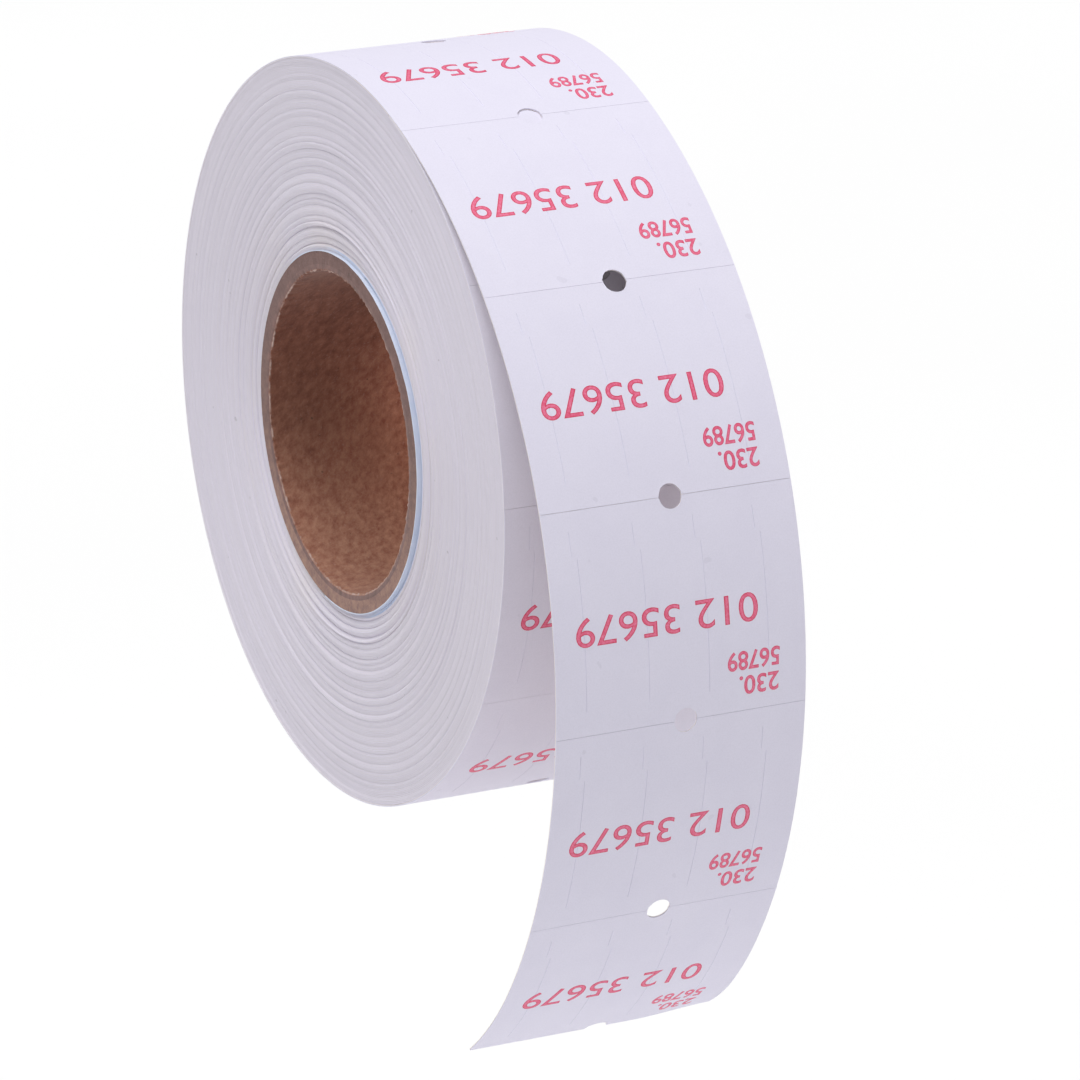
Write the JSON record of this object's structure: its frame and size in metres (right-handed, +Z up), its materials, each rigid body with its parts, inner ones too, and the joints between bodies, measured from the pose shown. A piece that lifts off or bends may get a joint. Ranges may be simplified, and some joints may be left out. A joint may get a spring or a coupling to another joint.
{
  "type": "roll of price gun labels",
  "caption": "Roll of price labels on a liner, wound on a paperboard core, with a free tail: the label supply of a hand-held price labelling gun.",
  "frame": {"origin": "centre of the core's bore, at mid width of the web", "axes": "+Y along the roll's axis, across the web; +Z up; the tail leaves the top of the roll towards +X and hangs down"},
  "size_m": [0.0635, 0.0198, 0.0688],
  "materials": {
    "label_paper": "matte",
    "liner_paper": "satin",
    "wound_web_edge": "matte",
    "core_board": "matte",
    "starter_tape": "satin",
    "label_ink": "matte"
  },
  "bodies": {
    "roll": {"core_inner_ply": "core_board", "core_middle_ply": "core_board", "core_outer_ply": "core_board", "starter_tape": "starter_tape", "wound_web": "wound_web_edge", "outer_turn_liner": "liner_paper", "roll_label_01": "label_paper", "roll_label_02": "label_paper", "roll_label_03": "label_paper", "roll_label_04": "label_paper", "roll_label_05": "label_paper", "roll_label_06": "label_paper", "roll_label_07": "label_paper", "roll_label_08": "label_paper", "roll_label_09": "label_paper", "roll_label_10": "label_paper", "roll_label_11": "label_paper"},
    "tail_1": {"tail_liner_1": "liner_paper", "tail_label_1": "label_paper"},
    "tail_2": {"tail_liner_2": "liner_paper", "tail_label_2": "label_paper"},
    "tail_3": {"tail_liner_3": "liner_paper", "tail_label_3": "label_paper"},
    "tail_4": {"tail_liner_4": "liner_paper", "tail_label_4": "label_paper"},
    "tail_5": {"tail_liner_5": "liner_paper"},
    "leading_label": {"leading_label": "label_paper"}
  },
  "joints": [
    {"name": "tail_lift", "type": "hinge", "parent": "roll", "child": "tail_1", "pos_m": [0.0115, 0, 0.0253], "axis": [0, -1, 0], "range_deg": [0, 35], "stiffness_Nm_per_rad": 0.0005, "springref_deg": 2.44},
    {"name": "tail_curl", "type": "hinge", "parent": "tail_1", "child": "tail_2", "pos_m": [0.0246, 0, 0.01626], "axis": [0, -1, 0], "range_deg": [-9, 23], "stiffness_Nm_per_rad": 0.0005, "springref_deg": 0.77},
    {"name": "tail_curl_3", "type": "hinge", "parent": "tail_2", "child": "tail_3", "pos_m": [0.03309, 0, 0.0028], "axis": [0, -1, 0], "range_deg": [-9, 23], "stiffness_Nm_per_rad": 0.0005, "springref_deg": -0.08},
    {"name": "tail_curl_4", "type": "hinge", "parent": "tail_3", "child": "tail_4", "pos_m": [0.03561, 0, -0.01292], "axis": [0, -1, 0], "range_deg": [-9, 23], "stiffness_Nm_per_rad": 0.0005, "springref_deg": -0.27},
    {"name": "tail_curl_5", "type": "hinge", "parent": "tail_4", "child": "tail_5", "pos_m": [0.03175, 0, -0.02836], "axis": [0, -1, 0], "range_deg": [-9, 23], "stiffness_Nm_per_rad": 0.0005, "springref_deg": -0.12},
    {"name": "label_peel", "type": "hinge", "parent": "tail_5", "child": "leading_label", "pos_m": [0.03173, 0, -0.02841], "axis": [0, -1, 0], "range_deg": [0, 60]}
  ],
  "couplings": [
    {"joint": "tail_curl_3", "follows": "tail_curl", "ratio": 1},
    {"joint": "tail_curl_4", "follows": "tail_curl", "ratio": 1},
    {"joint": "tail_curl_5", "follows": "tail_curl", "ratio": 1}
  ]
}
